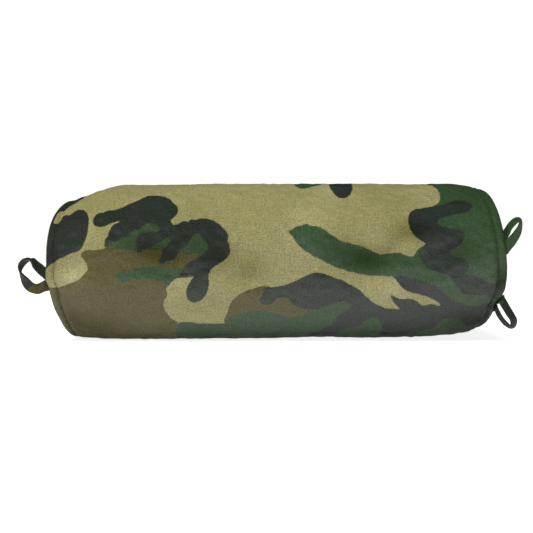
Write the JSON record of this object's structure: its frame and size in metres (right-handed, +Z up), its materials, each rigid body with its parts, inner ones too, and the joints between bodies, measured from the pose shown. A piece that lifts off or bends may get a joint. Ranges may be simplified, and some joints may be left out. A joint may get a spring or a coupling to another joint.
{
  "type": "training bumper",
  "caption": "Stuffed cylindrical canvas retrieving bumper with domed end panels, topstitched rims and small fabric loops in the rim seams for a throw line.",
  "frame": {"origin": "centre of the flat that the bumper settles onto", "axes": "+X along the bumper towards the end with two loops, +Z up, -Y towards the side with the loops"},
  "size_m": [0.3358, 0.1147, 0.1117],
  "materials": {
    "camouflage_canvas": "matte woven canvas printed in khaki, brown, green and near-black patches",
    "closed_cell_foam": "matte, fine closed cells",
    "polyester_fibre": "soft fibre fill",
    "strip_left": "matte woven canvas strip, mostly near-black with an olive end",
    "strip_right_upper": "matte woven canvas strip, mostly green",
    "strip_right_lower": "matte woven canvas strip, mostly near-black with a green end",
    "sewing_thread": "olive polyester thread"
  },
  "bodies": {
    "bumper": {"cover_tube": "camouflage_canvas", "end_panel_left": "camouflage_canvas", "end_panel_right": "camouflage_canvas", "foam_core": "closed_cell_foam", "fibre_wrap": "polyester_fibre", "fibre_pad_left": "polyester_fibre", "fibre_pad_right": "polyester_fibre", "loop_left_tails": "strip_left", "loop_right_upper_tails": "strip_right_upper", "loop_right_lower_tails": "strip_right_lower", "topstitch_left": "sewing_thread", "topstitch_right": "sewing_thread", "rim_stitches_left": "sewing_thread", "rim_stitches_right": "sewing_thread", "side_seam_stitches": "sewing_thread", "closing_stitches": "sewing_thread"},
    "loop_left": {"loop_left": "strip_left", "loop_left_edge_stitches": "sewing_thread"},
    "loop_right_upper": {"loop_right_upper": "strip_right_upper", "loop_right_upper_edge_stitches": "sewing_thread"},
    "loop_right_lower": {"loop_right_lower": "strip_right_lower", "loop_right_lower_edge_stitches": "sewing_thread"}
  },
  "joints": [
    {"name": "loop_left_swing", "type": "hinge", "parent": "bumper", "child": "loop_left", "pos_m": [-0.15165, -0.04891, 0.0444], "axis": [0, -0.2079, 0.9781], "range_deg": [-40, 100]},
    {"name": "loop_right_upper_swing", "type": "hinge", "parent": "bumper", "child": "loop_right_upper", "pos_m": [0.15165, -0.04878, 0.06787], "axis": [0, -0.2588, -0.9659], "range_deg": [-25, 95]},
    {"name": "loop_right_lower_swing", "type": "hinge", "parent": "bumper", "child": "loop_right_lower", "pos_m": [0.15165, -0.04235, 0.0273], "axis": [0, 0.5446, -0.8387], "range_deg": [-20, 90]}
  ]
}
